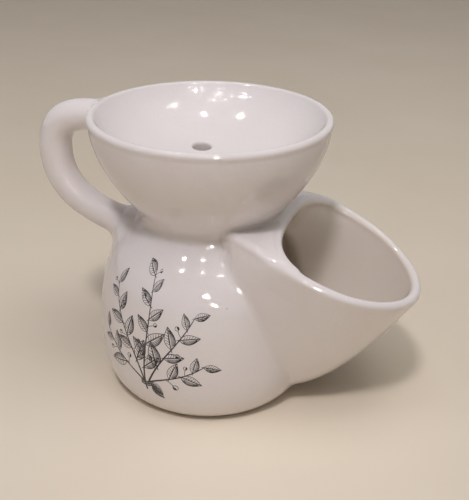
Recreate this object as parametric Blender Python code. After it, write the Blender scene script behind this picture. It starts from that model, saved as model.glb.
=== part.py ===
# Shaving scuttle: a hot-water pot with a brush spout, a soap dish on its neck and a loop handle.
# The castings are luted together with thin beds of slip. +X is the spout side, +Z is up,
# and the origin is the centre of the foot. Sizes are in millimetres.
import math

import bmesh
import bpy
from mathutils import Vector

MM = 0.001

# Walls and joints
WALL = 4.5
FLOOR = 5.0
SLIP = 0.8
GAP = 0.3

# Facets: sides of a full turn, and the length or turn that one facet of a profile takes
TURNS = 56
FACET_LENGTH = 10.0
FACET_TURN = 20.0
BEAD_FACET_TURN = 28.0
SMOOTH_ANGLE = 40.0
MERGE = 0.01

# Outside of pot and dish, from foot to rim; headings are degrees from outward towards up
FOOT_RADIUS = 37.5
FOOT_HEADING = 35.0
BELLY_RADIUS = 47.2
BELLY_HEIGHT = 28.0
SHOULDER_RADIUS = 37.5
SHOULDER_HEIGHT = 66.8
SHOULDER_HEADING = 132.0
WAIST_RADIUS = 28.8
WAIST_HEIGHT = 78.0
FLARE_RADIUS = 34.5
FLARE_HEIGHT = 87.3
FLARE_HEADING = 50.0
RIM_RADIUS = 50.0
RIM_HEADING = 86.0
RIM_BEAD = 2.3
BEAD_PROUD = 0.5
BEAD_START = -20.0
HEIGHT = 122.0

# Inside of the pot, soap bowl and its drain holes
FLOOR_HEADING = 12.0
BOWL_DEPTH = 20.5
BOWL_RIM_HEADING = 268.0
BOWL_TURN_RADIUS = 33.0
BOWL_TURN_DEPTH = 16.0
BOWL_TURN_HEADING = 208.0
ROOF_REACH = 3.5
ROOF_DROP = 1.5
ROOF_HEADING = -75.0
DRAIN_COUNT = 4
DRAIN_SIDES = 20
DRAIN_RADIUS = 3.6
DRAIN_RING = 16.0
DRAIN_TURN = 31.5

# Spout: a loft over three guide ovals, the throat inside the pot, the swell and the lip
LIP_TIP_REACH = 89.9
LIP_TIP_HEIGHT = 57.5
LIP_ROOT_REACH = 33.1
LIP_ROOT_HEIGHT = 81.5
LIP_HALF_WIDTH = 35.1
LIP_EGG = -0.17
LIP_WEB = 3.0
SWELL_LOW_REACH = 57.9
SWELL_LOW_HEIGHT = 1.4
SWELL_TOP_REACH = -22.0
SWELL_TOP_HEIGHT = 99.5
SWELL_HALF_WIDTH = 32.3
THROAT_HALF_WIDTH = 26.4
THROAT_INSET = 3.0
PASSAGE_DROP = 10.0
SPOUT_SIDES = 40
SPOUT_STEPS = 8
CREST_STEPS = 4

# Handle: its centre line runs from the rim out to its farthest point and down to the shoulder
HANDLE_DROP = 6.4
HANDLE_REACH = 71.0
HANDLE_REACH_HEIGHT = 99.6
HANDLE_TOP_PULL = 17.0
HANDLE_RISE_PULL = 9.9
HANDLE_FALL_PULL = 15.4
HANDLE_FOOT_PULL = 22.0
HANDLE_FOOT_DROP = 4.8
HANDLE_FOOT_HEADING = -28.0
HANDLE_RADIUS = 7.2
HANDLE_TOP_RADIUS = 6.1
HANDLE_LOW_RADIUS = 6.0
HANDLE_FOOT_RADIUS = 11.0
FLARE_POWER = 7
HANDLE_END_SHARE = 0.25
HANDLE_SIDES = 16
HANDLE_STEPS = 28

GLAZE = (0.86, 0.84, 0.82)
GLAZE_ROUGHNESS = 0.12
SLIP_CLAY = (0.80, 0.77, 0.73)
SLIP_ROUGHNESS = 0.5


def clear_scene():
    for item in list(bpy.data.objects):
        bpy.data.objects.remove(item, do_unlink=True)


def finish(name, colour, roughness):
    material = bpy.data.materials.new(name)
    material.use_nodes = True
    shader = material.node_tree.nodes["Principled BSDF"]
    shader.inputs["Base Color"].default_value = (*colour, 1.0)
    shader.inputs["Roughness"].default_value = roughness
    shader.inputs["Metallic"].default_value = 0.0
    return material


def add_object(name, mesh, material=None):
    item = bpy.data.objects.new(name, mesh)
    bpy.context.collection.objects.link(item)
    if material:
        mesh.materials.append(material)
        mesh.shade_smooth()
        mesh.set_sharp_from_angle(angle=math.radians(SMOOTH_ANGLE))
    else:
        item.hide_render = True
        item.display_type = "WIRE"
    return item


def cut(item, tool, operation="DIFFERENCE"):
    step = item.modifiers.new(tool.name, "BOOLEAN")
    step.operation = operation
    step.solver = "EXACT"
    step.object = tool


def bend(start, end):
    # Points from one knot (radius, height, heading) towards the next, leaving out the last
    chord = math.hypot(end[0] - start[0], end[1] - start[1])
    pull = chord / 3
    turn = abs((end[2] - start[2] + 180.0) % 360.0 - 180.0)
    steps = max(2, round(chord / FACET_LENGTH + turn / FACET_TURN))
    a, b = math.radians(start[2]), math.radians(end[2])
    corners = (
        Vector(start[:2]),
        Vector(start[:2]) + pull * Vector((math.cos(a), math.sin(a))),
        Vector(end[:2]) - pull * Vector((math.cos(b), math.sin(b))),
        Vector(end[:2]),
    )
    return [bezier(corners, i / steps) for i in range(steps)]


def bezier(corners, t):
    points = list(corners)
    while len(points) > 1:
        points = [p.lerp(q, t) for p, q in zip(points, points[1:])]
    return points[0]


def bead(last):
    # Outline of the rolled rim, from under its outer side round to the last angle
    steps = round((last - BEAD_START) / BEAD_FACET_TURN)
    angles = [math.radians(BEAD_START + (last - BEAD_START) * i / steps) for i in range(steps + 1)]
    return [Vector(BEAD_CENTRE) + RIM_BEAD * Vector((math.cos(a), math.sin(a))) for a in angles]


def inside(knot, depth):
    a = math.radians(knot[2])
    return (knot[0] - depth * math.sin(a), knot[1] + depth * math.cos(a), knot[2])


FOOT = (FOOT_RADIUS, 0.0, FOOT_HEADING)
BELLY = (BELLY_RADIUS, BELLY_HEIGHT, 90.0)
SHOULDER = (SHOULDER_RADIUS, SHOULDER_HEIGHT, SHOULDER_HEADING)
FLARE = (FLARE_RADIUS, FLARE_HEIGHT, FLARE_HEADING)
BEAD_CENTRE = (RIM_RADIUS - RIM_BEAD, HEIGHT - RIM_BEAD)
RIM = (RIM_RADIUS - BEAD_PROUD, HEIGHT - 2 * RIM_BEAD, RIM_HEADING)
JOINT_HALF = SLIP / 2 + GAP


def pot_wall():
    neck = (WAIST_RADIUS, WAIST_HEIGHT - JOINT_HALF, 90.0)
    return bend(FOOT, BELLY) + bend(BELLY, SHOULDER) + bend(SHOULDER, neck) + [Vector(neck[:2])]


def dish_wall(bead_end):
    collar = (WAIST_RADIUS, WAIST_HEIGHT + JOINT_HALF, 90.0)
    return bend(collar, FLARE) + bend(FLARE, RIM) + bead(bead_end)


def pot_section():
    floor_edge = (FOOT_RADIUS - WALL, FLOOR, FLOOR_HEADING)
    belly = inside(BELLY, WALL)
    shoulder = inside(SHOULDER, WALL)
    neck = (WAIST_RADIUS - WALL, WAIST_HEIGHT - JOINT_HALF, 90.0)
    inner = bend(floor_edge, belly) + bend(belly, shoulder) + bend(shoulder, neck)
    hollow = [Vector((0, FLOOR))] + inner + [Vector(neck[:2])]
    return hollow + pot_wall()[::-1] + [Vector((0, 0))]


def dish_section():
    bowl_edge = (BEAD_CENTRE[0] - RIM_BEAD, BEAD_CENTRE[1], BOWL_RIM_HEADING)
    bowl_turn = (BOWL_TURN_RADIUS, HEIGHT - BOWL_TURN_DEPTH, BOWL_TURN_HEADING)
    bowl_middle = (0.0, HEIGHT - BOWL_DEPTH, 180.0)
    bowl = bend(bowl_edge, bowl_turn) + bend(bowl_turn, bowl_middle) + [Vector(bowl_middle[:2])]
    roof_middle = (0.0, HEIGHT - BOWL_DEPTH - FLOOR, 0.0)
    stem = inside(FLARE, WALL)
    roof_turn = (stem[0] + ROOF_REACH, roof_middle[1] - ROOF_DROP, ROOF_HEADING)
    stem_down = (stem[0], stem[1], FLARE_HEADING + 180.0)
    collar = (WAIST_RADIUS - WALL, WAIST_HEIGHT + JOINT_HALF, 270.0)
    hollow = bend(roof_middle, roof_turn) + bend(roof_turn, stem_down) + bend(stem_down, collar)
    return bowl[::-1] + dish_wall(180.0)[-2::-1] + [Vector(collar[:2])] + hollow[::-1]


def neck_slip_section():
    inner, outer = WAIST_RADIUS - WALL, WAIST_RADIUS
    top, bottom = WAIST_HEIGHT + SLIP / 2, WAIST_HEIGHT - SLIP / 2
    return [Vector(p) for p in ((inner, top), (outer, top), (outer, bottom), (inner, bottom))]


def grown(points, distance):
    # Outline moved outwards by the distance, square to itself
    moved = []
    for i, point in enumerate(points):
        along = points[min(i + 1, len(points) - 1)] - points[max(i - 1, 0)]
        moved.append(point + distance * Vector((along.y, -along.x)).normalized())
    return moved


def core_section(distance):
    # Full body of pot and dish with its outside moved out, for cutting joint faces
    wall = grown(pot_wall()[:-1] + dish_wall(90.0)[1:], distance)
    return [Vector((0, wall[-1].y))] + wall[::-1] + [Vector((0, wall[0].y))]


def turned(name, section, material=None):
    mesh = bpy.data.meshes.new(name)
    points = [(p.x * MM, 0.0, p.y * MM) for p in section]
    closed = section[0].x > 0
    edges = [(i, i + 1) for i in range(len(points) - 1)]
    if closed:
        edges.append((len(points) - 1, 0))
    mesh.from_pydata(points, edges, [])
    item = add_object(name, mesh, material)
    spin = item.modifiers.new("turn", "SCREW")
    spin.axis = "Z"
    spin.steps = TURNS
    spin.render_steps = TURNS
    spin.use_merge_vertices = True
    spin.merge_threshold = MERGE * MM
    return item


def oval(low, high, half_width, egg, angle):
    centre = Vector(((low[0] + high[0]) / 2, 0.0, (low[1] + high[1]) / 2))
    reach = Vector(((low[0] - high[0]) / 2, 0.0, (low[1] - high[1]) / 2))
    side = half_width * math.sin(angle) * (1 + egg * math.cos(angle))
    return centre + reach * math.cos(angle) + Vector((0.0, side, 0.0))


LIP_TIP = Vector((LIP_TIP_REACH, LIP_TIP_HEIGHT))
LIP_ROOT = Vector((LIP_ROOT_REACH, LIP_ROOT_HEIGHT))
LIP_SLOPE = (LIP_TIP - LIP_ROOT).normalized()
LIP_RISE = Vector((-LIP_SLOPE.y, LIP_SLOPE.x)) * WALL / 2


def outer_guides():
    throat_low = Vector((FOOT_RADIUS - THROAT_INSET, THROAT_INSET))
    throat_top = Vector((0.0, SHOULDER_HEIGHT))
    swell_low = Vector((SWELL_LOW_REACH, SWELL_LOW_HEIGHT))
    swell_top = Vector((SWELL_TOP_REACH, SWELL_TOP_HEIGHT))
    edge = LIP_SLOPE * WALL / 2
    return (
        (throat_low, throat_top, THROAT_HALF_WIDTH, 0.0),
        (swell_low, swell_top, SWELL_HALF_WIDTH, 0.0),
        (LIP_TIP + edge - LIP_RISE, LIP_ROOT - edge - LIP_RISE, LIP_HALF_WIDTH + WALL / 2, LIP_EGG),
    )


def inner_guides():
    # One wall inside the outer guides; the roof drops below the neck, behind the lip's web
    throat, swell, lip = outer_guides()
    lift = WALL * Vector((-math.sqrt(0.5), math.sqrt(0.5)))
    roof = WAIST_HEIGHT - PASSAGE_DROP
    edge = LIP_SLOPE * WALL
    return (
        (throat[0] + lift, Vector((0.0, roof - WALL / 2)), throat[2] - WALL, 0.0),
        (swell[0] + lift, Vector((WAIST_RADIUS, roof)), swell[2] - WALL, 0.0),
        (lip[0] - edge, lip[1] + edge + LIP_SLOPE * LIP_WEB, lip[2] - WALL, LIP_EGG),
    )


def spout_line(guides, angle):
    corners = [oval(*guide, angle) for guide in guides]
    return [bezier(corners, i / SPOUT_STEPS) for i in range(SPOUT_STEPS + 1)]


def spout_profile(angle):
    # Up the outside, over the rounded lip and down the inside
    outer, inner = spout_line(outer_guides(), angle), spout_line(inner_guides(), angle)
    middle, half = (outer[-1] + inner[-1]) / 2, (outer[-1] - inner[-1]) / 2
    rise = Vector((LIP_RISE.x, 0.0, LIP_RISE.y))
    turns = [math.pi * i / CREST_STEPS for i in range(1, CREST_STEPS)]
    crest = [middle + half * math.cos(a) + rise * math.sin(a) for a in turns]
    return outer + crest + inner[::-1]


def ring_mesh(name, rings, capped):
    # Skin over rings of equal count: open tubes get end caps, closed ones join up
    shape = bmesh.new()
    rows = [[shape.verts.new(p * MM) for p in ring] for ring in rings]
    pairs = list(zip(rows, rows[1:]))
    if not capped:
        pairs.append((rows[-1], rows[0]))
    for row, following in pairs:
        for i in range(len(row)):
            j = (i + 1) % len(row)
            shape.faces.new((row[i], row[j], following[j], following[i]))
    if capped:
        shape.faces.new(rows[0][::-1])
        shape.faces.new(rows[-1])
    bmesh.ops.recalc_face_normals(shape, faces=shape.faces)
    mesh = bpy.data.meshes.new(name)
    shape.to_mesh(mesh)
    shape.free()
    return mesh


def spout_angles():
    return [2 * math.pi * i / SPOUT_SIDES for i in range(SPOUT_SIDES)]


def spout_mesh(name):
    return ring_mesh(name, [spout_profile(a) for a in spout_angles()], capped=False)


def passage_mesh(name):
    lines = [spout_line(inner_guides(), a) for a in spout_angles()]
    return ring_mesh(name, [list(ring) for ring in zip(*lines)], capped=True)


def handle_path(t):
    # Two curves that meet upright at the point farthest from the pot
    far = Vector((-HANDLE_REACH, 0.0, HANDLE_REACH_HEIGHT))
    if t < 0.5:
        top = Vector((WALL - RIM_RADIUS, 0.0, HEIGHT - HANDLE_DROP))
        out = top - Vector((HANDLE_TOP_PULL, 0.0, 0.0))
        return bezier((top, out, far + Vector((0.0, 0.0, HANDLE_RISE_PULL)), far), 2 * t)
    heading = math.radians(HANDLE_FOOT_HEADING)
    foot = Vector((WALL - SHOULDER_RADIUS, 0.0, SHOULDER_HEIGHT - HANDLE_FOOT_DROP))
    back = foot - HANDLE_FOOT_PULL * Vector((math.cos(heading), 0.0, math.sin(heading)))
    return bezier((far, far - Vector((0.0, 0.0, HANDLE_FALL_PULL)), back, foot), 2 * t - 1)


def handle_radius(t):
    # Thickest at the farthest point, slimmer towards both ends, flared onto the shoulder
    run = abs(2 * t - 1)
    if t < 0.5:
        return HANDLE_RADIUS + (HANDLE_TOP_RADIUS - HANDLE_RADIUS) * run ** 2
    slim = HANDLE_RADIUS + (HANDLE_LOW_RADIUS - HANDLE_RADIUS) * run
    return slim + (HANDLE_FOOT_RADIUS - HANDLE_LOW_RADIUS) * run ** FLARE_POWER


def handle_mesh(name, first, last):
    # Round sections along the stretch of the centre line from first to last, as shares of it
    rings = []
    near = 0.5 / HANDLE_STEPS
    steps = round(HANDLE_STEPS * (last - first))
    angles = [2 * math.pi * k / HANDLE_SIDES for k in range(HANDLE_SIDES)]
    across = Vector((0.0, 1.0, 0.0))
    for i in range(steps + 1):
        t = first + (last - first) * i / steps
        along = handle_path(min(t + near, 1.0)) - handle_path(max(t - near, 0.0))
        out = along.normalized().cross(across)
        centre, radius = handle_path(t), handle_radius(t)
        rings.append([centre + radius * (across * math.cos(a) + out * math.sin(a)) for a in angles])
    return ring_mesh(name, rings, capped=True)


def drain_mesh(name):
    shape = bmesh.new()
    for i in range(DRAIN_COUNT):
        angle = math.radians(DRAIN_TURN) + 2 * math.pi * i / DRAIN_COUNT
        made = bmesh.ops.create_cone(shape, cap_ends=True, segments=DRAIN_SIDES, radius1=DRAIN_RADIUS * MM,
                                     radius2=DRAIN_RADIUS * MM, depth=4 * FLOOR * MM)
        centre = Vector((DRAIN_RING * math.cos(angle), DRAIN_RING * math.sin(angle), HEIGHT - BOWL_DEPTH))
        bmesh.ops.translate(shape, verts=made["verts"], vec=centre * MM)
    mesh = bpy.data.meshes.new(name)
    shape.to_mesh(mesh)
    shape.free()
    return mesh


def slip_bed(name, mesh, inner_core, outer_core):
    bed = add_object(name, mesh, finish(name, SLIP_CLAY, SLIP_ROUGHNESS))
    cut(bed, outer_core, "INTERSECT")
    cut(bed, inner_core)


def build():
    clear_scene()
    slip_face = turned("slip_face", core_section(GAP))
    slip_back = turned("slip_back", core_section(GAP + SLIP))
    joint_face = turned("joint_face", core_section(GAP + SLIP + GAP))

    pot = turned("pot", pot_section(), finish("pot", GLAZE, GLAZE_ROUGHNESS))
    cut(pot, add_object("passage", passage_mesh("passage")))

    dish = turned("soap_dish", dish_section(), finish("soap_dish", GLAZE, GLAZE_ROUGHNESS))
    cut(dish, add_object("drains", drain_mesh("drains")))

    turned("neck_slip", neck_slip_section(), finish("neck_slip", SLIP_CLAY, SLIP_ROUGHNESS))

    spout = add_object("spout", spout_mesh("spout"), finish("spout", GLAZE, GLAZE_ROUGHNESS))
    cut(spout, joint_face)
    slip_bed("spout_slip", spout_mesh("spout_slip"), slip_face, slip_back)

    handle_glaze = finish("handle", GLAZE, GLAZE_ROUGHNESS)
    handle = add_object("handle", handle_mesh("handle", 0.0, 1.0), handle_glaze)
    cut(handle, joint_face)
    end = HANDLE_END_SHARE
    slip_bed("handle_top_slip", handle_mesh("handle_top_slip", 0.0, end), slip_face, slip_back)
    slip_bed("handle_foot_slip", handle_mesh("handle_foot_slip", 1.0 - end, 1.0), slip_face, slip_back)


build()
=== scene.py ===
import math

import bpy
import numpy as np
from mathutils import Matrix, Vector


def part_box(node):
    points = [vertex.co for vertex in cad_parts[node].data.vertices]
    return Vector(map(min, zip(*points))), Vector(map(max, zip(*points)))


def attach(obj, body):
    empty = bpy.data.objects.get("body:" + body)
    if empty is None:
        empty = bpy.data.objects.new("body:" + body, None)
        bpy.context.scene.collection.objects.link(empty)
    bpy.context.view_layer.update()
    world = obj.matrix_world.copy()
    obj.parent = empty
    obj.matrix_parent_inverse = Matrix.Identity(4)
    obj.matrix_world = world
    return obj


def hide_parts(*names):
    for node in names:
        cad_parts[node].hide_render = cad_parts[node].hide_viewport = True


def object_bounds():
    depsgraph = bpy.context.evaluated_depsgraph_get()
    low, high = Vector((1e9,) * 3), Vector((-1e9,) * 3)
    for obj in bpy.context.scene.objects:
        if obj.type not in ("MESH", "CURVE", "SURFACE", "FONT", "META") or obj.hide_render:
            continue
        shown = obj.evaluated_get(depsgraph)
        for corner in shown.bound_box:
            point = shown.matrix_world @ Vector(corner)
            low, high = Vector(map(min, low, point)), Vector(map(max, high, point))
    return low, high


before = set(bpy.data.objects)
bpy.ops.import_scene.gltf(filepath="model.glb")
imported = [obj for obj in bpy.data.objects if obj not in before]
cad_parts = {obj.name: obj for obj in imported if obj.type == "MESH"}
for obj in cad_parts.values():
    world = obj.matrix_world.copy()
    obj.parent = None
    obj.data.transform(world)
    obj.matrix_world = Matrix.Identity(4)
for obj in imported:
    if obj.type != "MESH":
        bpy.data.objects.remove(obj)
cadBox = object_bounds()
mm = 0.001

# The ware is shaped as one clay body in millimetres, then parted at its luted joints.
# A knot is radius, height and heading; headings are degrees from outward towards up.
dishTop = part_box("soap_dish")[1] / mm
rimRadius, rimHeight = dishTop.x, dishTop.z

clay = {
    "wall": 4.5,
    "floor": 5.0,
    "waistHeight": 78.0,
    "spoutMelt": 1.5,     # how softly the joints run into each other
    "webMelt": 4.5,
    "neckMelt": 4.0,      # this takes over from spoutMelt between neckFrom and neckTo
    "neckFrom": (62.0, 12.0),    # height, and the length of the change
    "neckTo": (88.0, 6.0),
    "handleMelt": 8.0,    # below gripFrom
    "gripMelt": 2.0,
    "gripFrom": (94.0, 12.0),
    "luteRoll": 1.2,      # roll of slip left along the handle's foot
    "rollMelt": 1.2,
    "throatMelt": 4.0,
    "drainMelt": 1.2,
    "innerFade": 1.5,     # how softly the painted shade of the hollows and drains sets in
    "drainFade": 0.5,
}

turnedBody = {
    "foot": (36.2, 0.0, 0.0),
    "footEdge": (38.4, 0.9, 36.0),
    "belly": (47.2, 28.0, 90.0),
    "shoulder": (37.5, 66.8, 132.0),
    "waist": (28.8, clay["waistHeight"], 90.0),
    "flare": (34.5, 87.3, 50.0),
    "rimHeading": 86.0,
    "bead": 1.75,
    "beadProud": 0.5,
    "beadStart": -20.0,
}

soapBowl = {
    "depth": 20.5,
    "headroom": 20.0,     # air that is cut away over the rim
    "rimTurn": 150.0,     # how far the rim's bead rolls over inwards
    "turn": (31.0, rimHeight - 15.2, 206.0),
    "drains": 4,
    "drainRadius": 3.8,
    "drainTaper": 0.12,
    "drainLip": 1.0,      # the taper goes on this far above the bowl's floor
    "drainReach": 1.3,    # half the hole's length, in thicknesses of the roof
    "drainRing": 16.0,
    "drainTurn": 31.5,
}

potHollow = {
    "floorEdge": (33.0, clay["floor"], 12.0),
    "roofThick": 7.5,     # clay between the bowl and the hollow below it
    "roofReach": 3.5,
    "roofDrop": 1.5,
    "roofHeading": 105.0,
}

brushSpout = {
    "lipTip": (89.9, 57.5),
    "lipRoot": (33.1, 81.5),
    "lipHalf": 35.1,
    "lipEgg": -0.17,
    "lipWeb": 0.8,
    "lipFull": 0.75,      # how much squarer than an ellipse the mouth is near its root
    "webHalf": 31.5,      # half width at webStart of the flat web that ties the lip to the neck
    "webStart": 20.0,
    "webFull": 38.0,
    "webEnd": 46.0,
    "webSpread": 0.275,
    "webLean": 0.35,      # how far its sides lean in
    "webTuck": 0.1,       # how fast it narrows behind webStart
    "webFold": 3.0,       # radius of its edge
    "webDrop": 0.3,       # how steeply its top falls away from the lip's plane
    "webDropGap": 3.0,
    "webSink": 0.9,
    "webDepth": 9.0,
    "webTail": 8.0,       # how far it goes on behind webStart
    "swellLow": (57.9, 1.4),
    "swellTop": (-22.0, 99.5),
    "swellHalf": 32.3,
    "throatLow": (34.5, 3.0),
    "throatHalf": 26.4,
    "passageDrop": 10.0,
    "backLimit": 14.0,    # the lofts count only on the spout's side of these x
    "lowLimit": 22.0,     # below lowFrom
    "lowFrom": (46.0, 10.0),
    "throatLimit": 24.0,
    "sinkStart": 20.0,
    "sink": 0.5,
}

loopHandle = {
    "top": (4.5 - rimRadius, rimHeight - 6.4),
    "topPull": 10.7,
    "far": (-70.8, 99.4),
    "risePull": 16.3,
    "fallPull": 26.9,
    "foot": (-33.0, 66.0),
    "footPull": 9.7,
    "footHeading": -23.0,
    "radius": 7.1,
    "topRadius": 6.2,
    "lowRadius": 6.0,
    "footRadius": 10.5,
    "flarePower": 8,
    "steps": 36,
    "within": (-14.0, 26.0, 30.0),    # largest x, widest y and lowest z
}


def bend(start, end, steps=70):          # cubic from knot to knot, without the last point
    a, b = np.radians(start[2]), np.radians(end[2])
    p0, p3 = np.array(start[:2]), np.array(end[:2])
    pull = np.linalg.norm(p3 - p0) / 3
    p1 = p0 + pull * np.array((np.cos(a), np.sin(a)))
    p2 = p3 - pull * np.array((np.cos(b), np.sin(b)))
    return bezier((p0, p1, p2, p3), np.arange(steps) / steps)


def bezier(corners, t):
    t = np.asarray(t, float)[:, None]
    points = [np.asarray(c, float) for c in corners]
    while len(points) > 1:
        points = [p + (q - p) * t for p, q in zip(points, points[1:])]
    return points[0]


def through(*knots):                     # one smooth outline over several knots
    return np.concatenate([bend(a, b) for a, b in zip(knots, knots[1:])])


def inside(knot, depth):
    a = math.radians(knot[2])
    return (knot[0] - depth * math.sin(a), knot[1] + depth * math.cos(a), knot[2])


def beadArc(first, last, steps=30):
    a = np.radians(np.linspace(first, last, steps))
    b = turnedBody["bead"]
    return np.stack((rimRadius - b + b * np.cos(a), rimHeight - b + b * np.sin(a)), 1)


def coreOutline():                       # outside of pot and dish, closed across the top
    t = turnedBody
    rim = (rimRadius - t["beadProud"], rimHeight - 2 * t["bead"], t["rimHeading"])
    wall = through(t["foot"], t["footEdge"], t["belly"], t["shoulder"], t["waist"], t["flare"], rim)
    return np.concatenate(([(0, 0)], wall, beadArc(t["beadStart"], 90), [(0, rimHeight)]))


def hollowOutline():                     # water space of the pot and the hollow under the bowl
    t, h, wall = turnedBody, potHollow, clay["wall"]
    roof = (0.0, rimHeight - soapBowl["depth"] - h["roofThick"], 180.0)
    stem = inside(t["flare"], wall)
    turn = (stem[0] + h["roofReach"], roof[1] - h["roofDrop"], h["roofHeading"])
    knots = [inside(t[name], wall) for name in ("belly", "shoulder", "waist")]
    side = through(h["floorEdge"], *knots, stem, turn, roof)
    return np.concatenate(([(0, clay["floor"])], side, [roof[:2]]))


def bowlOutline():                       # soap bowl, open upwards
    b = soapBowl
    bead = beadArc(90, b["rimTurn"])
    edge = (*bead[-1], b["rimTurn"] + 90)
    low, sky = rimHeight - b["depth"], rimHeight + b["headroom"]
    side = through(edge, b["turn"], (0.0, low, 180.0))
    return np.concatenate((bead[:-1], side, [(0, low), (0, sky), (bead[0][0], sky)]))


def distanceTable(outline, low=(-4.0, -8.0), high=(64.0, 136.0), step=0.2, band=13.0):
    size = [int((h - l) / step) + 1 for l, h in zip(low, high)]
    table = np.full(size, band)
    within = np.zeros(size, bool)
    r, z = (low[i] + step * np.arange(size[i]) for i in (0, 1))
    for a, b in zip(outline, np.roll(outline, -1, axis=0)):
        start = [max(0, int((min(a[i], b[i]) - band - low[i]) / step)) for i in (0, 1)]
        stop = [int((max(a[i], b[i]) + band - low[i]) / step) + 1 for i in (0, 1)]
        window = (slice(start[0], stop[0]), slice(start[1], stop[1]))
        dr, dz = r[window[0], None] - a[0], z[None, window[1]] - a[1]
        run = b - a
        if max(a[0], b[0]) > 0:          # the axis itself is no wall
            t = np.clip((dr * run[0] + dz * run[1]) / max(run @ run, 1e-12), 0, 1)
            table[window] = np.minimum(table[window], np.hypot(dr - t * run[0], dz - t * run[1]))
        for j in np.nonzero((z >= min(a[1], b[1])) & (z < max(a[1], b[1])))[0]:
            cross = a[0] + run[0] * (z[j] - a[1]) / run[1]
            within[:max(0, math.ceil((cross - low[0]) / step)), j] ^= True
    table[within] *= -1
    return {"low": low, "step": step, "value": table}


def lookUp(table, a, b, name="value"):   # bilinear reading of a table
    grid = table[name]
    fa = np.clip((a - table["low"][0]) / table["step"], 0, grid.shape[0] - 1.001)
    fb = np.clip((b - table["low"][1]) / table["step"], 0, grid.shape[1] - 1.001)
    i, j = fa.astype(np.int32), fb.astype(np.int32)
    fa, fb = fa - i, fb - j
    near = grid[i, j] * (1 - fb) + grid[i, j + 1] * fb
    return near * (1 - fa) + (grid[i + 1, j] * (1 - fb) + grid[i + 1, j + 1] * fb) * fa


def spoutGuides():                       # throat, swell and lip ovals: ends, half width, egg
    s, wall = brushSpout, clay["wall"]
    tip, root = np.array(s["lipTip"]), np.array(s["lipRoot"])
    slope = (tip - root) / np.linalg.norm(tip - root)
    sink = np.array((slope[1], -slope[0])) * wall / 2
    edge = slope * wall / 2
    outer = [
        (s["throatLow"], (0.0, turnedBody["shoulder"][1]), s["throatHalf"], 0.0),
        (s["swellLow"], s["swellTop"], s["swellHalf"], 0.0),
        (tip + edge + sink, root - edge + sink, s["lipHalf"] + wall / 2, s["lipEgg"]),
    ]
    roof = clay["waistHeight"] - s["passageDrop"]
    lift = wall * np.array((-math.sqrt(0.5), math.sqrt(0.5)))
    lipTop = root + edge + slope * s["lipWeb"] + sink
    inner = [
        (np.array(s["throatLow"]) + lift, (0.0, roof - wall / 2), s["throatHalf"] - wall, 0.0),
        (np.array(s["swellLow"]) + lift, (turnedBody["waist"][0], roof), s["swellHalf"] - wall, 0.0),
        (tip - edge + sink, lipTop, s["lipHalf"] - wall / 2, s["lipEgg"]),
    ]
    return outer, inner, -sink / np.linalg.norm(sink)


def soften(values, reach=5, rounds=2):   # moving average both ways over a table
    for _ in range(rounds):
        for axis in (0, 1):
            shifted = [np.roll(values, i, axis) for i in range(-reach, reach + 1)]
            values = sum(shifted) / len(shifted)
    return values


loftSearch = {                           # limits for finding the section through a point
    "rounds": 60,
    "start": 0.8,
    "leastTurn": 30.0,
    "strideW": 0.1,
    "strideU": 0.2,
    "rangeW": (-0.1, 1.0),
    "rangeU": (-1.15, 2.5),
    "leastHalf": 4.0,
    "leastRho": 0.2,
    "leastSlope": 0.004,
    "fullFrom": 0.5,      # the mouth grows squarer from this section on
}


def loftTable(guides, normal, low=(4.0, -12.0), high=(104.0, 112.0), step=0.25):
    f = loftSearch
    lows, highs = (np.array([g[i] for g in guides], float) for i in (0, 1))
    centre, reach = (lows + highs).T / 2, (lows - highs).T / 2
    half = np.array([g[2] for g in guides])
    egg = half * np.array([g[3] for g in guides])
    axes = [np.arange(low[i], high[i], step) for i in (0, 1)]
    place = np.stack(np.meshgrid(*axes, indexing="ij"))
    above = np.tensordot(normal, place - lows[2][:, None, None], 1)
    place = place - normal[:, None, None] * np.maximum(above, 0)    # the lip's section goes straight on
    w, u = np.full(place.shape[1:], f["start"]), np.zeros(place.shape[1:])
    for _ in range(f["rounds"]):         # find the section w and the place u across it
        share = np.stack(((1 - w) ** 2, 2 * w * (1 - w), w * w))
        rate = np.stack((2 * w - 2, 2 - 4 * w, 2 * w))
        across = np.tensordot(reach, share, 1)
        along = np.tensordot(centre, rate, 1) + np.tensordot(reach, rate, 1) * u
        miss = np.tensordot(centre, share, 1) + across * u - place
        det = along[0] * across[1] - along[1] * across[0]
        det = np.where(np.abs(det) < f["leastTurn"], np.copysign(f["leastTurn"], det), det)
        moveW = (miss[1] * across[0] - miss[0] * across[1]) / det
        moveU = (along[1] * miss[0] - along[0] * miss[1]) / det
        w = np.clip(w + np.clip(moveW, -f["strideW"], f["strideW"]), *f["rangeW"])
        u = np.clip(u + np.clip(moveU, -f["strideU"], f["strideU"]), *f["rangeU"])
    share = np.stack(((1 - w) ** 2, 2 * w * (1 - w), w * w))
    q = np.maximum(np.tensordot(half, share, 1) + u * np.tensordot(egg, share, 1), f["leastHalf"])
    w, u, q = (soften(values) for values in (w, u, q))
    table = {"low": low, "step": step, "w": w, "u": u, "q": q}
    table["ux"], table["uz"] = np.gradient(u, step)
    table["qx"], table["qz"] = np.gradient(q, step)
    return table


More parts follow.
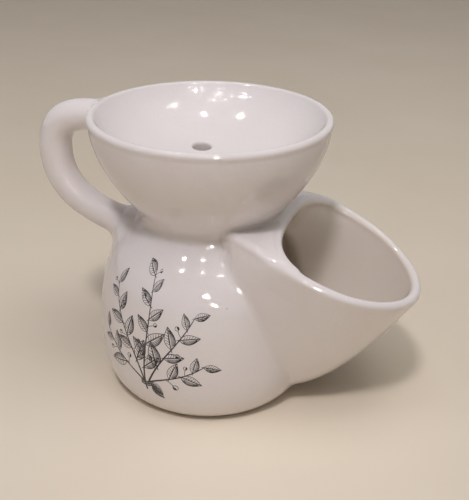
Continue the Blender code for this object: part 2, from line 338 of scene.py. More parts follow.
def loftDistance(table, x, y, z, limit, far=13.0):
    out = np.full(x.shape, far)
    near = x > limit
    x, y, z, limit = x[near], y[near], z[near], np.broadcast_to(limit, x.shape)[near]
    names = ("w", "u", "q", "ux", "uz", "qx", "qz")
    w, u, q, ux, uz, qx, qz = (lookUp(table, x, z, name) for name in names)
    v = np.abs(y) / q
    least, start = loftSearch["leastRho"], loftSearch["fullFrom"]
    rho = np.maximum(np.sqrt(u * u + v * v), least)
    a, b = u / rho, v / rho
    full = (u < 0) & (w > start)
    power = 2 + brushSpout["lipFull"] * ((w[full] - start) / (1 - start)) ** 2
    rho[full] = np.maximum((np.abs(u[full]) ** power + v[full] ** power) ** (1 / power), least)
    a[full] = -(np.abs(u[full]) / rho[full]) ** (power - 1)
    b[full] = (v[full] / rho[full]) ** (power - 1)
    slope = np.sqrt((a * ux - b * v * qx / q) ** 2 + (a * uz - b * v * qz / q) ** 2 + (b / q) ** 2)
    distance = np.clip((rho - 1) / np.maximum(slope, loftSearch["leastSlope"]), -far, far)
    out[near] = np.maximum(distance, limit - x)
    return out


def handleLine():                        # centre points and radii along the handle
    h = loopHandle
    top, far, foot = (np.array(h[name]) for name in ("top", "far", "foot"))
    t = np.linspace(0, 1, h["steps"] + 1)
    heading = math.radians(h["footHeading"])
    back = foot - h["footPull"] * np.array((math.cos(heading), math.sin(heading)))
    upper = bezier((top, top - (h["topPull"], 0), far + (0, h["risePull"]), far), t)
    lower = bezier((far, far - (0, h["fallPull"]), back, foot), t)
    slim = h["radius"] + (h["lowRadius"] - h["radius"]) * t
    flare = (h["footRadius"] - h["lowRadius"]) * t ** h["flarePower"]
    upperRadius = h["radius"] + (h["topRadius"] - h["radius"]) * (1 - t) ** 2
    return np.concatenate((upper[:-1], lower)), np.concatenate((upperRadius[:-1], slim + flare))


def handleDistance(x, y, z, far=30.0):
    out = np.full(x.shape, far)
    within = loopHandle["within"]
    near = (x < within[0]) & (np.abs(y) < within[1]) & (z > within[2])
    x, y, z = x[near], y[near], z[near]
    best = np.full(x.shape, far)
    points, radii = handleLine()
    for a, b, ra, rb in zip(points, points[1:], radii, radii[1:]):
        run = b - a
        t = np.clip(((x - a[0]) * run[0] + (z - a[1]) * run[1]) / (run @ run), 0, 1)
        gap = np.sqrt((x - a[0] - t * run[0]) ** 2 + (z - a[1] - t * run[1]) ** 2 + y * y)
        best = np.minimum(best, gap - ra - t * (rb - ra))
    out[near] = best
    return out


def melt(a, b, soft):                    # union with a soft inner corner
    h = np.maximum(soft - np.abs(a - b), 0) / soft
    return np.minimum(a, b) - h * h * soft / 4


def roundCut(a, b, radius):              # intersection with a rounded edge
    outA, outB = np.maximum(a + radius, 0), np.maximum(b + radius, 0)
    return np.minimum(np.maximum(a, b) + radius, 0) + np.hypot(outA, outB) - radius


def below(height, z):                    # 1 well below a height, fading to 0 at it
    return np.clip((height[0] - z) / height[1], 0, 1)


coreTable = distanceTable(coreOutline())
hollowTable = distanceTable(hollowOutline())
bowlTable = distanceTable(bowlOutline())
outerGuides, innerGuides, lipNormal = spoutGuides()
outerLoft, innerLoft = loftTable(outerGuides, lipNormal), loftTable(innerGuides, lipNormal)
print("clay tables ready")


def webDistance(x, y, plane):            # flat plate under the lip's plane, its sides leaning in
    s = brushSpout
    start, tilt = s["webStart"], math.hypot(1, s["webSpread"], s["webLean"])
    half = s["webHalf"] + s["webSpread"] * (np.minimum(x, s["webFull"]) - start)
    tuck = s["webTuck"] * np.maximum(start - x, 0) ** 2
    side = (np.abs(y) - half + tuck - s["webLean"] * plane) / tilt
    top = plane + s["webSink"] + s["webDrop"] * np.maximum(s["lipRoot"][0] - s["webDropGap"] - x, 0)
    plate = np.maximum(roundCut(side, top, s["webFold"]), -plane - s["webDepth"])
    return np.maximum(plate, np.maximum(start - s["webTail"] - x, x - s["webEnd"]))


def drainDistance(x, y, z, far=30.0):    # slightly tapered holes from the bowl down to the hollow
    b = soapBowl
    deep = potHollow["roofThick"]
    depth = rimHeight - b["depth"] - z
    best = np.full(x.shape, far)
    for i in range(b["drains"]):
        a = math.radians(b["drainTurn"]) + 2 * math.pi * i / b["drains"]
        place = b["drainRing"] * math.cos(a), b["drainRing"] * math.sin(a)
        best = np.minimum(best, np.hypot(x - place[0], y - place[1]) - b["drainRadius"])
    best = best + b["drainTaper"] * np.clip(depth, -b["drainLip"], deep)
    return np.maximum(best, np.abs(depth - deep / 2) - b["drainReach"] * deep)


def lipPlane(x, z):                      # height over the plane of the mouth
    tip = brushSpout["lipTip"]
    return (x - tip[0]) * lipNormal[0] + (z - tip[1]) * lipNormal[1]


def cavityDistance(x, y, z, plane):      # water space with the throat
    throat = loftDistance(innerLoft, x, y, z, brushSpout["throatLimit"])
    throat = np.maximum(throat, plane - clay["wall"])
    return melt(lookUp(hollowTable, np.hypot(x, y), z), throat, clay["throatMelt"])


def clayFields(x, y, z):                 # the ware, and what parts spout, handle and dish from it
    c, s = clay, brushSpout
    radius = np.hypot(x, y)
    core = lookUp(coreTable, radius, z)
    plane = lipPlane(x, z)
    limit = s["backLimit"] + (s["lowLimit"] - s["backLimit"]) * below(s["lowFrom"], z)
    sunk = s["sink"] * np.maximum(s["sinkStart"] - x, 0)    # the loft dies away into the neck
    scoop = roundCut(loftDistance(outerLoft, x, y, z, limit) + sunk, plane, c["wall"] / 2)
    spout = melt(scoop, webDistance(x, y, plane), c["webMelt"])
    handle = handleDistance(x, y, z)
    start, length = c["neckFrom"]
    atNeck = np.clip((z - start) / length, 0, 1) * below(c["neckTo"], z)
    soft = c["spoutMelt"] + (c["neckMelt"] - c["spoutMelt"]) * atNeck
    low = below(c["gripFrom"], z)
    grip = c["gripMelt"] + (c["handleMelt"] - c["gripMelt"]) * low
    roll = np.hypot(handle, core) - c["luteRoll"] * low
    body = melt(melt(melt(core, spout, soft), handle, grip), roll, c["rollMelt"])
    ware = roundCut(body, -cavityDistance(x, y, z, plane), c["wall"] / 2)
    ware = np.maximum(ware, -lookUp(bowlTable, radius, z))
    ware = -melt(-ware, drainDistance(x, y, z), c["drainMelt"])
    neck = z - c["waistHeight"]
    return np.stack((ware, np.maximum(spout - core, -core), np.maximum(handle - core, -core), neck))


# Mesh: every grid node belongs to the air or to one piece, and each mixed cell gets one vertex.
pieceNames = ("air", "pot", "soapDish", "spout", "handle")
meshing = {
    "grid": 0.82,
    "margin": 3.1,        # empty space round the ware
    "pulls": 4,           # rounds of moving vertices onto the surface
    "calms": 2,           # rounds of evening them out, each with its own pulls
    "calmShare": 0.5,
    "calmPulls": 2,
    "reach": 0.8,         # how far a vertex may leave its cell's middle, in cells
    "stride": 0.5,
    "damping": 0.003,
    "slopeGap": 0.03,
    "normalGap": 0.12,
    "bendRounds": 6,
}


def nodeLabels(axes):
    labels = np.zeros([len(a) for a in axes], np.uint8)
    for i, x in enumerate(axes[0]):
        y, z = np.meshgrid(axes[1], axes[2], indexing="ij")
        ware, spout, handle, neck = clayFields(np.full(y.shape, x), y, z)
        label = np.where(neck < 0, 1, 2)
        label = np.where(spout < 0, 3, np.where(handle < 0, 4, label))
        labels[i] = np.where(ware < 0, label, 0)
    return labels


def cellMasks(labels):                   # which pieces each cell touches, as bits
    bits = (1 << labels).astype(np.uint8)
    for axis in range(3):
        front, back = np.split(np.stack((bits, np.roll(bits, -1, axis))), 2)
        bits = np.delete((front | back)[0], -1, axis)
    return bits


def pullOnto(points, active, middle, rounds):    # move vertices onto the faces they belong to
    m = meshing
    reach, gap = m["reach"] * m["grid"], m["slopeGap"]
    for _ in range(rounds):
        value = clayFields(*points.T)
        slope = [(clayFields(*(points + gap * side).T) - value) / gap for side in np.eye(3)]
        jacobian = np.stack(slope, -1).transpose(1, 0, 2) * active[:, :, None]
        square = jacobian @ jacobian.transpose(0, 2, 1) + m["damping"] * np.eye(4)
        push = np.linalg.solve(square, (value.T * active)[:, :, None])
        step = (jacobian.transpose(0, 2, 1) @ push)[:, :, 0]
        step = np.clip(step, -m["stride"], m["stride"])
        points = np.clip(points - step, middle - reach, middle + reach)
    return points


def skin(inPiece, cell):                 # quads across every grid edge that leaves the piece
    quads = []
    for axis in range(3):
        node, index = np.moveaxis(inPiece, axis, 0), np.moveaxis(cell, axis, 0)
        first, second = node[:-1, 1:-1, 1:-1], node[1:, 1:-1, 1:-1]
        for leaving in (True, False):
            i, j, k = np.nonzero((first != second) & (first == leaving))
            corners = ((0, 0), (1, 0), (1, 1), (0, 1))
            ring = [index[i, j + dj, k + dk] for dj, dk in corners]
            turned = leaving == (axis == 1)
            quads.append(np.stack(ring[::-1] if turned else ring, 1))
    return np.concatenate(quads)


def average(values, edges, count):       # mean of each vertex's neighbours
    ends = np.concatenate((edges[:, 0], edges[:, 1]))
    others = np.concatenate((edges[:, 1], edges[:, 0]))
    total = np.maximum(np.bincount(ends, minlength=count), 1)
    columns = [np.bincount(ends, values[others, i], count) / total for i in range(values.shape[1])]
    return np.stack(columns, 1)


def bendiness(points, normals, edges):   # plus on edges, minus in hollows, per millimetre
    run = points[edges[:, 1]] - points[edges[:, 0]]
    turn = ((normals[edges[:, 1]] - normals[edges[:, 0]]) * run).sum(1)
    turn = turn / np.maximum((run * run).sum(1), 1e-6)
    count = len(points)
    total = np.bincount(edges.ravel(), minlength=count)
    bendOf = np.bincount(edges.ravel(), np.repeat(turn, 2), count) / np.maximum(total, 1)
    for _ in range(meshing["bendRounds"]):
        bendOf = (bendOf + average(bendOf[:, None], edges, count)[:, 0]) / 2
    return bendOf


def fadeIn(distance, fade):              # 1 inside a hollow, fading to 0 outside it
    return np.clip((fade - distance) / (2 * fade), 0, 1)


def shapeClay():
    m, step, margin = meshing, meshing["grid"], meshing["margin"]
    axes = [np.arange(l / mm - margin, h / mm + margin, step) for l, h in zip(*cadBox)]
    labels = nodeLabels(axes)
    masks = cellMasks(labels)
    mixed = (masks & (masks - 1)) > 0
    cell = np.full(mixed.shape, -1)
    cell[mixed] = np.arange(mixed.sum())
    mask = masks[mixed]
    middle = np.stack([axes[i][index] + step / 2 for i, index in enumerate(np.nonzero(mixed))], 1)
    air, pot, dish, spout, handle = ((mask >> i) & 1 > 0 for i in range(5))
    turned = pot | dish
    active = np.stack((air, spout & turned, handle & turned, pot & dish), 1).astype(float)
    points = pullOnto(middle, active, middle, m["pulls"])
    quads = {name: skin(labels == i, cell) for i, name in enumerate(pieceNames) if i}
    outer = np.concatenate([q[air[q].all(1)] for q in quads.values()])
    edges = np.concatenate([outer[:, [i, (i + 1) % 4]] for i in range(4)])
    edges = np.unique(np.sort(edges, 1), axis=0)
    for _ in range(m["calms"]):
        shift = (average(points, edges, len(points)) - points) * air[:, None]
        points = pullOnto(points + m["calmShare"] * shift, active, middle, m["calmPulls"])
    gaps = m["normalGap"] * np.eye(3)
    ahead, behind = ([clayFields(*(points + side * g).T)[0] for g in gaps] for side in (1, -1))
    normals = np.stack(ahead, 1) - np.stack(behind, 1)
    normals /= np.maximum(np.linalg.norm(normals, axis=1), 1e-9)[:, None]
    x, y, z = points.T
    marks = {
        "bend": bendiness(points, normals, edges),
        # these two marks say where the hollows' walls and the drain holes get painted shade
        "inner": fadeIn(cavityDistance(x, y, z, lipPlane(x, z)), clay["innerFade"]),
        "drain": fadeIn(drainDistance(x, y, z), clay["drainFade"]),
    }
    return points, normals, air, marks, quads


def clayPiece(name, quads, points, normals, air, marks):
    used, corner = np.unique(quads, return_inverse=True)
    corner = corner.reshape(-1, 4)
    low, high = (np.array(c) for c in cadBox)
    place = np.clip(points[used] * mm, low, high)
    mesh = bpy.data.meshes.new(name)
    mesh.vertices.add(len(used))
    mesh.vertices.foreach_set("co", place.ravel())
    mesh.loops.add(corner.size)
    mesh.loops.foreach_set("vertex_index", corner.ravel())
    mesh.polygons.add(len(corner))
    mesh.polygons.foreach_set("loop_start", np.arange(0, corner.size, 4))
    mesh.update(calc_edges=True)
    mesh.validate()
    glazed = air[quads].all(1)
    first, second, third, fourth = (place[corner[:, i]] for i in range(4))
    flat = np.cross(third - first, fourth - second)
    flat /= np.maximum(np.linalg.norm(flat, axis=1), 1e-12)[:, None]
    loopNormals = np.where(glazed[:, None, None], normals[quads], flat[:, None, :])
    mesh.shade_smooth()
    mesh.normals_split_custom_set(loopNormals.reshape(-1, 3).tolist())
    for mark, value in marks.items():
        data = mesh.attributes.new(mark, "FLOAT", "POINT").data
        data.foreach_set("value", value[used].astype(np.float32))
    piece = bpy.data.objects.new(name, mesh)
    bpy.context.scene.collection.objects.link(piece)
    print(name, len(corner), "quads")
    return piece


points, normals, air, marks, quads = shapeClay()
pieces = {name: clayPiece(name, q, points, normals, air, marks) for name, q in quads.items()}
print("clay pieces ready")


def put(tree, kind, inputs=None, **settings):    # one node; an input is a value or a socket
    node = tree.nodes.new(kind)
    for key, value in settings.items():
        setattr(node, key, value)
    for key, value in (inputs or {}).items():
        if isinstance(value, bpy.types.NodeSocket):
            tree.links.new(value, node.inputs[key])
        else:
            node.inputs[key].default_value = value
    return node


def math2(tree, operation, a, b=0.0):
    return put(tree, "ShaderNodeMath", {0: a, 1: b}, operation=operation).outputs[0]


def spread(tree, value, low, high, toLow=0.0, toHigh=1.0):
    inputs = {"Value": value, "From Min": low, "From Max": high, "To Min": toLow, "To Max": toHigh}
    return put(tree, "ShaderNodeMapRange", inputs).outputs[0]


def noise(tree, place, scale, detail):
    inputs = {"Vector": place, "Scale": scale, "Detail": detail}
    return put(tree, "ShaderNodeTexNoise", inputs).outputs[0]


def blendColour(tree, share, first, second):
    node = put(tree, "ShaderNodeMix", data_type="RGBA")
    for number, value in {0: share, 6: first, 7: second}.items():
        if isinstance(value, bpy.types.NodeSocket):
            tree.links.new(value, node.inputs[number])
        else:
            node.inputs[number].default_value = value
    return node.outputs[2]


noiseRange = (0.3, 0.7)                  # most values of a noise lie between these
glaze = {
    "white": (0.79, 0.74, 0.735, 1),
    "cloudWhite": (0.825, 0.78, 0.78, 1),
    "inside": (0.77, 0.665, 0.51, 1),    # painted warm shade and bounced light on the walls of the hollows and throat
    "drain": (0.50, 0.45, 0.405, 1),     # painted shade in the drain holes
    # painted shade, darker and warmer in the creases and hollows of the surface
    "creaseShade": (0.69, 0.63, 0.59, 1),
    "thin": (0.83, 0.79, 0.765, 1),
    "crazeLine": (0.66, 0.61, 0.58, 1),
    "speck": (0.10, 0.075, 0.06, 1),
    "bareClay": (0.74, 0.68, 0.60, 1),
    "speckScale": 95.0,
    "speckSize": 0.045,
    "speckShare": 0.93,   # of the cells have no speck
    "speckTint": 0.8,
    "bareHeight": 0.0004,
    "bareRough": 0.8,
    "gloss": 0.035,
    "dull": 0.08,
    "ior": 1.72,
    "cloudScale": 28.0,
    "cloudRange": (0.35, 0.65),
    "peelScale": 620.0,
    "peelShare": 0.35,
    "brushStretch": 3.5,
    "crazeScale": 240.0,
    "crazeWidth": 0.035,
    "crazePatch": (0.45, 0.65),    # cloudiness between which the craze lines come in
    "crazeTint": 0.16,
    "crazeDepth": 0.12,
    "creaseShadeBend": (-0.03, -0.22, 0.0, 0.55),    # bends from and to, then shares from and to
    "thinBend": (0.15, 0.5, 0.0, 0.6),
    "bumpStrength": 0.22,
    "bumpDepth": 0.0006,
}
ink = {
    "fresh": (0.014, 0.013, 0.016, 1),
    "worn": (0.085, 0.078, 0.08, 1),
    "wear": (0.42, 0.72),    # cloudiness from fresh to worn
    "cloudScale": 90.0,
    "gloss": 0.10,
    "dull": 0.22,
}


def glazeGroup():                        # cloudiness, craze lines and unevenness of a fired glaze
    g = glaze
    tree = bpy.data.node_groups.new("glazeSurface", "ShaderNodeTree")
    for name in ("Cloud Scale", "Peel Scale", "Craze Scale", "Craze Width"):
        tree.interface.new_socket(name, in_out="INPUT", socket_type="NodeSocketFloat")
    for name in ("Cloud", "Craze", "Height"):
        tree.interface.new_socket(name, in_out="OUTPUT", socket_type="NodeSocketFloat")
    given = put(tree, "NodeGroupInput").outputs
    place = put(tree, "ShaderNodeTexCoord").outputs["Object"]
    cloud = noise(tree, place, given["Cloud Scale"], 3.0)
    peel = noise(tree, place, given["Peel Scale"], 2.0)
    stretch = {"Vector": place, "Scale": (1.0, 1.0, g["brushStretch"])}
    stretched = put(tree, "ShaderNodeMapping", stretch).outputs[0]
    brush = noise(tree, stretched, given["Cloud Scale"], 5.0)
    cells = {"Vector": place, "Scale": given["Craze Scale"]}
    crack = put(tree, "ShaderNodeTexVoronoi", cells, feature="DISTANCE_TO_EDGE").outputs["Distance"]
    line = spread(tree, crack, 0.0, given["Craze Width"], 1.0, 0.0)
    craze = math2(tree, "MULTIPLY", line, spread(tree, cloud, *g["crazePatch"]))
    height = math2(tree, "ADD", math2(tree, "MULTIPLY", peel, g["peelShare"]), brush)
    put(tree, "NodeGroupOutput", {"Cloud": cloud, "Craze": craze, "Height": height})
    return tree


glazeSurface = glazeGroup()


def surface(tree, cloudScale):
    g = glaze
    inputs = {"Cloud Scale": cloudScale, "Peel Scale": g["peelScale"],
              "Craze Scale": g["crazeScale"], "Craze Width": g["crazeWidth"]}
    return put(tree, "ShaderNodeGroup", inputs, node_tree=glazeSurface).outputs


def roughen(tree, shader, height):       # the small unevenness of the glaze, as a bump
    inputs = {"Height": height, "Strength": glaze["bumpStrength"], "Distance": glaze["bumpDepth"]}
    tree.links.new(put(tree, "ShaderNodeBump", inputs).outputs[0], shader.inputs["Normal"])


def newMaterial(name):
    material = bpy.data.materials.new(name)
    material.use_nodes = True
    return material, material.node_tree, material.node_tree.nodes["Principled BSDF"]


def whiteGlaze():
    g = glaze
    material, tree, shader = newMaterial("whiteGlaze")
    flow = surface(tree, g["cloudScale"])
    bendOf = put(tree, "ShaderNodeAttribute", attribute_name="bend").outputs["Fac"]
    cloudy = spread(tree, flow["Cloud"], *g["cloudRange"])
    colour = blendColour(tree, cloudy, g["white"], g["cloudWhite"])
    # painted shade: the walls of the hollows and the drain holes are darkened
    for mark, paintedShade in (("inner", g["inside"]), ("drain", g["drain"])):
        share = put(tree, "ShaderNodeAttribute", attribute_name=mark).outputs["Fac"]
        colour = blendColour(tree, share, colour, paintedShade)
    # painted shade where the surface bends inwards
    colour = blendColour(tree, spread(tree, bendOf, *g["creaseShadeBend"]), colour, g["creaseShade"])
    colour = blendColour(tree, spread(tree, bendOf, *g["thinBend"]), colour, g["thin"])
    craze = math2(tree, "MULTIPLY", flow["Craze"], g["crazeTint"])
    colour = blendColour(tree, craze, colour, g["crazeLine"])
    place = put(tree, "ShaderNodeTexCoord").outputs["Object"]
    dots = put(tree, "ShaderNodeTexVoronoi", {"Vector": place, "Scale": g["speckScale"]})
    pick = put(tree, "ShaderNodeSeparateColor", {0: dots.outputs["Color"]}).outputs[0]
    dot = spread(tree, dots.outputs["Distance"], g["speckSize"], g["speckSize"] / 2)
    speck = math2(tree, "MULTIPLY", dot, math2(tree, "GREATER_THAN", pick, g["speckShare"]))
    colour = blendColour(tree, math2(tree, "MULTIPLY", speck, g["speckTint"]), colour, g["speck"])
    level = put(tree, "ShaderNodeSeparateXYZ", {0: place}).outputs["Z"]
    bare = math2(tree, "LESS_THAN", level, g["bareHeight"])
    colour = blendColour(tree, bare, colour, g["bareClay"])
    tree.links.new(colour, shader.inputs["Base Color"])
    rough = spread(tree, flow["Cloud"], *noiseRange, g["gloss"], g["dull"])
    rough = math2(tree, "MAXIMUM", rough, math2(tree, "MULTIPLY", bare, g["bareRough"]))
    tree.links.new(rough, shader.inputs["Roughness"])
    crack = math2(tree, "MULTIPLY", flow["Craze"], g["crazeDepth"])
    roughen(tree, shader, math2(tree, "SUBTRACT", flow["Height"], crack))
    shader.inputs["IOR"].default_value = g["ior"]
    return material


def printInk():                          # black transfer ink, a little worn, under the same glaze
    material, tree, shader = newMaterial("printInk")
    flow = surface(tree, ink["cloudScale"])
    worn = spread(tree, flow["Cloud"], *ink["wear"])
    colour = blendColour(tree, worn, ink["fresh"], ink["worn"])
    tree.links.new(colour, shader.inputs["Base Color"])
    rough = spread(tree, flow["Cloud"], *noiseRange, ink["gloss"], ink["dull"])
    tree.links.new(rough, shader.inputs["Roughness"])
    roughen(tree, shader, flow["Height"])
    return material


whiteGlazeLook, inkLook = whiteGlaze(), printInk()
for piece in pieces.values():
    piece.data.materials.append(whiteGlazeLook)
print("glaze ready")


# The print is a sprig of leaves and berries, drawn flat in millimetres and wrapped round the belly.
sprig = {
    "turn": -104.0,       # degrees round the pot
    "height": 40.0,
    "belly": 46.5,        # radius that the drawing is rolled on
    "inkDepth": 0.07,
    "leafSpacing": 5.4,
    "leafLength": 12.5,
    "leafShrink": 0.42,
    "splay": 46.0,
    "berrySpacing": 9.0,
    "berryLength": 7.5,
    "berrySplay": -1.3,   # in splays, and on the other side than the leaf
    "sizeRange": (0.82, 1.08),    # random sizes of leaves and berries
    "bareStem": 0.2,      # share of a stem without leaves
    "boldLine": 0.34,     # half widths of the pen strokes
    "fineLine": 0.17,
    "stemLine": 1.2,      # in bold lines, at a stem's lower end
    "tieTurns": 3,
    "tieGap": 0.9,
    "rayStart": 80.0,     # the drawing is cast onto the pot from this radius
    "rayLength": 100.0,
    "seed": 7,
}
leafForm = {                             # drawn along X with a length of 1
    "half": 0.235,
    "fullness": 0.8,      # below 1, the widest place lies nearer the stalk
    "ribStart": -0.14,
    "ribLength": 1.1,
    "ribBow": 0.02,
    "shades": (0.3, 0.52, 0.75),    # shading lines, in half widths from the rib
    "shadeInset": 0.1,
    "shadeLine": (0.6, 0.7),    # in fine lines at the rib, and how much more at the edge
    "veins": np.arange(0.18, 0.8, 0.12),
    "veinRun": 0.13,
    "veinBend": (0.04, 0.45),
    "veinReach": 0.82,
    "veinLine": 0.8,
}
berryForm = {
    "centre": 0.8,
    "radius": 0.17,
    "ringEnd": 352.0,
    "stalkBow": (0.3, 0.09),
    "shades": (0.25, 0.5, 0.78),    # shading arcs, in radii
    "shadeArc": (200.0, 340.0),
    "shadeLine": 0.7,
}
stemCurves = (
    ((0, -25), (-3, -8), (4, 6), (0, 25)),
    ((-0.6, -22), (-5, -6), (-15, 2), (-20, 17)),
    ((0.6, -22), (6, -8), (14, -1), (21, 12)),
    ((-0.9, -21), (-7, -16), (-15, -14), (-24, -5)),
    ((0.9, -21), (7, -17), (16, -16), (25, -9)),
)
tieBand = ((-2.6, -20.2), (-1, -21.2), (1, -21.2), (2.6, -20.2))


def penStrokes(name, strokes):           # curve object of pen strokes, each points and half widths
    data = bpy.data.curves.new(name, "CURVE")
    data.dimensions = "3D"
    for line, width in strokes:
        spline = data.splines.new("POLY")
        spline.points.add(len(line) - 1)
        for point, (x, y), half in zip(spline.points, line, np.broadcast_to(width, len(line))):
            point.co = (x, y, 0, 1)
            point.radius = half
    drawing = bpy.data.objects.new(name, data)
    bpy.context.scene.collection.objects.link(drawing)
    return drawing


def leafStrokes():                       # one leaf, shaded on its lower half
    f = leafForm
    fine, bold = (sprig[name] / sprig["leafLength"] for name in ("fineLine", "boldLine"))
    t = np.linspace(0, 1, 15)
    halfOf = lambda along: f["half"] * np.sin(np.pi * along ** f["fullness"])
    swell = fine + (bold - fine) * np.sin(np.pi * t)
    rib = np.stack((t * f["ribLength"] + f["ribStart"], f["ribBow"] * np.sin(np.pi * t)), 1)
    strokes = [(np.stack((t, halfOf(t)), 1), fine), (np.stack((t, -halfOf(t)), 1), swell), (rib, swell)]
    for depth in f["shades"]:            # these grow bolder towards the lower edge
        inset = f["shadeInset"] + f["shadeInset"] * depth
        u = np.linspace(inset, 1 - inset, 11)
        line = f["shadeLine"][0] + f["shadeLine"][1] * depth
        strokes.append((np.stack((u, -depth * halfOf(u)), 1), fine * line))
    for start in f["veins"]:
        end = start + f["veinRun"]
        back, rise = f["veinBend"]
        corners = ((start, 0), (end - back, rise * halfOf(end)), (end, f["veinReach"] * halfOf(end)))
        strokes.append((bezier(corners, np.linspace(0, 1, 5)), fine * f["veinLine"]))
    return strokes


def berryStrokes():                      # a berry on its stalk, length 1 along X
    f = berryForm
    fine, bold = (sprig[name] / sprig["berryLength"] for name in ("fineLine", "boldLine"))
    arc = lambda radius, turn: np.stack((f["centre"] + radius * np.cos(turn), radius * np.sin(turn)), 1)
    ring = np.radians(np.linspace(0, f["ringEnd"], 19))
    strokes = [(arc(f["radius"], ring), fine)]
    stalk = ((0, 0), f["stalkBow"], (f["centre"] - f["radius"], 0))
    strokes.append((bezier(stalk, np.linspace(0, 1, 6)), fine))
    shade = np.radians(np.linspace(*f["shadeArc"], 9))
    for depth in f["shades"]:
        strokes.append((arc(depth * f["radius"], shade), bold * f["shadeLine"]))
    return strokes


def stemStrokes():
    g, t = sprig, np.linspace(0, 1, 33)
    taper = mm * (g["fineLine"] + (g["boldLine"] * g["stemLine"] - g["fineLine"]) * (1 - t))
    strokes = [(bezier(curve, t) * mm, taper) for curve in stemCurves]
    for i in range(g["tieTurns"]):
        strokes.append(((bezier(tieBand, t[::4]) - (0, i * g["tieGap"])) * mm, g["boldLine"] * mm))
    return strokes


def vector2(tree, operation, a, b):
    second = "Scale" if operation == "SCALE" else 1
    return put(tree, "ShaderNodeVectorMath", {0: a, second: b}, operation=operation).outputs[0]


def sprigTree():
    tree = bpy.data.node_groups.new("sprigTree", "GeometryNodeTree")
    plain = ("Leaf Spacing", "Leaf Length", "Leaf Shrink", "Splay", "Berry Spacing", "Berry Length",
             "Bare Stem", "Ink Depth", "Turn", "Height", "Belly")
    kinds = {"Stems": "Geometry", "Leaf": "Object", "Berry": "Object", "Pot": "Object",
             "Ink": "Material", **dict.fromkeys(plain, "Float"), "Seed": "Int"}
    for name, kind in kinds.items():
        tree.interface.new_socket(name, in_out="INPUT", socket_type="NodeSocket" + kind)
    tree.interface.new_socket("Print", in_out="OUTPUT", socket_type="NodeSocketGeometry")
    given = put(tree, "NodeGroupInput").outputs

    def drawn(curves):                   # pen strokes to closed ribbons of their own width
        profile = put(tree, "GeometryNodeCurvePrimitiveQuadrilateral", {"Width": 2.0, "Height": 2.0})
        upright = put(tree, "GeometryNodeSetCurveNormal", {"Curve": curves}, mode="Z_UP")
        width = put(tree, "GeometryNodeInputRadius").outputs[0]
        inputs = {"Curve": upright.outputs[0], "Profile Curve": profile.outputs[0],
                  "Scale": width, "Fill Caps": True}
        return put(tree, "GeometryNodeCurveToMesh", inputs).outputs[0]

    def grown(motif, spacing, length, side):    # motifs along the stems, left and right in turn
        stems = {"Curve": given["Stems"], "Length": spacing}
        points = put(tree, "GeometryNodeResampleCurve", stems, mode="LENGTH")
        along = put(tree, "GeometryNodeSplineParameter").outputs["Factor"]
        tangent = put(tree, "GeometryNodeInputTangent").outputs[0]
        odd = math2(tree, "MODULO", put(tree, "GeometryNodeInputIndex").outputs[0], 2.0)
        angle = math2(tree, "MULTIPLY", given["Splay"], spread(tree, odd, 0.0, 1.0, -side, side))
        ahead = put(tree, "FunctionNodeAlignRotationToVector", {"Vector": tangent},
                    axis="X", pivot_axis="Z").outputs[0]
        swing = {"Axis": (0, 0, 1), "Angle": angle}
        swing = put(tree, "FunctionNodeAxisAngleToRotation", swing).outputs[0]
        rotation = put(tree, "FunctionNodeRotateRotation", {0: ahead, 1: swing},
                       rotation_space="LOCAL")
        limits = {2: sprig["sizeRange"][0], 3: sprig["sizeRange"][1], "Seed": given["Seed"]}
        chance = put(tree, "FunctionNodeRandomValue", limits).outputs[1]
        taper = math2(tree, "SUBTRACT", 1.0, math2(tree, "MULTIPLY", along, given["Leaf Shrink"]))
        size = math2(tree, "MULTIPLY", length, math2(tree, "MULTIPLY", taper, chance))
        shape = put(tree, "GeometryNodeObjectInfo", {"Object": motif}).outputs["Geometry"]
        leafy = math2(tree, "GREATER_THAN", along, given["Bare Stem"])
        inputs = {"Points": points.outputs[0], "Selection": leafy, "Instance": drawn(shape),
                  "Rotation": rotation.outputs[0], "Scale": size}
        return put(tree, "GeometryNodeInstanceOnPoints", inputs).outputs[0]

    join = put(tree, "GeometryNodeJoinGeometry")
    leaves = grown(given["Leaf"], given["Leaf Spacing"], given["Leaf Length"], 1.0)
    berries = grown(given["Berry"], given["Berry Spacing"], given["Berry Length"], sprig["berrySplay"])
    for part in (drawn(given["Stems"]), leaves, berries):
        tree.links.new(part, join.inputs[0])
    flat = put(tree, "GeometryNodeRealizeInstances", {0: join.outputs[0]}).outputs[0]
    position = put(tree, "GeometryNodeInputPosition").outputs[0]
    place = put(tree, "ShaderNodeSeparateXYZ", {0: position}).outputs
    angle = math2(tree, "ADD", given["Turn"], math2(tree, "DIVIDE", place["X"], given["Belly"]))
    level = math2(tree, "ADD", given["Height"], place["Y"])
    heading = {0: math2(tree, "COSINE", angle), 1: math2(tree, "SINE", angle)}
    out = put(tree, "ShaderNodeCombineXYZ", heading).outputs[0]
    lift = put(tree, "ShaderNodeCombineXYZ", {2: level}).outputs[0]
    start = vector2(tree, "ADD", vector2(tree, "SCALE", out, sprig["rayStart"] * mm), lift)
    wall = put(tree, "GeometryNodeObjectInfo", {"Object": given["Pot"]}).outputs["Geometry"]
    ray = {"Target Geometry": wall, "Source Position": start,
           "Ray Direction": vector2(tree, "SCALE", out, -1.0), "Ray Length": sprig["rayLength"] * mm}
    hit = put(tree, "GeometryNodeRaycast", ray).outputs
    depth = math2(tree, "MULTIPLY", given["Ink Depth"], 0.5)
    proud = math2(tree, "MULTIPLY", math2(tree, "SIGN", place["Z"]), depth)
    rise = vector2(tree, "SCALE", hit["Hit Normal"], proud)
    onWall = vector2(tree, "ADD", hit["Hit Position"], rise)
    wrapped = put(tree, "GeometryNodeSetPosition", {"Geometry": flat, "Position": onWall}).outputs[0]
    inked = put(tree, "GeometryNodeSetMaterial", {"Geometry": wrapped, "Material": given["Ink"]})
    put(tree, "NodeGroupOutput", {0: inked.outputs[0]})
    return tree


